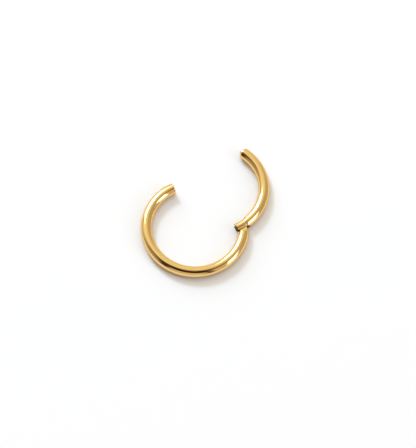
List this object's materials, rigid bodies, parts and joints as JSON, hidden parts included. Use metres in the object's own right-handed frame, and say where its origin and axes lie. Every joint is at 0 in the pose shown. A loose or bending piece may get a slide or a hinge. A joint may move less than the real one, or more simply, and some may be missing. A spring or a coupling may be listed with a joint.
{
  "type": "hinged segment ring",
  "caption": "Round-wire ring for a body piercing with a hinged arc that swings open about a flush pin and snaps shut on a ball and recess; shown open, lying flat.",
  "frame": {"origin": "centre of the ring body's circle, on the plane that the ring lies on", "axes": "+Z is the ring's own axis, up from the surface it lies on; +X points from the ring's centre to the hinge pin"},
  "size_m": [0.0139, 0.0145, 0.0012],
  "materials": {
    "gold_steel": "polished surgical steel with a gold-coloured vapour coating",
    "gold_ball": "gold-coloured vapour coating on a hardened steel ball, rubbed paler"
  },
  "bodies": {
    "ring": {"ring_body": "gold_steel"},
    "segment": {"hinged_segment": "gold_steel", "hinge_pin": "gold_steel", "click_ball": "gold_ball"}
  },
  "joints": [
    {"name": "segment_hinge", "type": "hinge", "parent": "ring", "child": "segment", "pos_m": [0.0051, 0, 0.0006], "axis": [0, 0, -1], "range_deg": [-60, 30]}
  ]
}
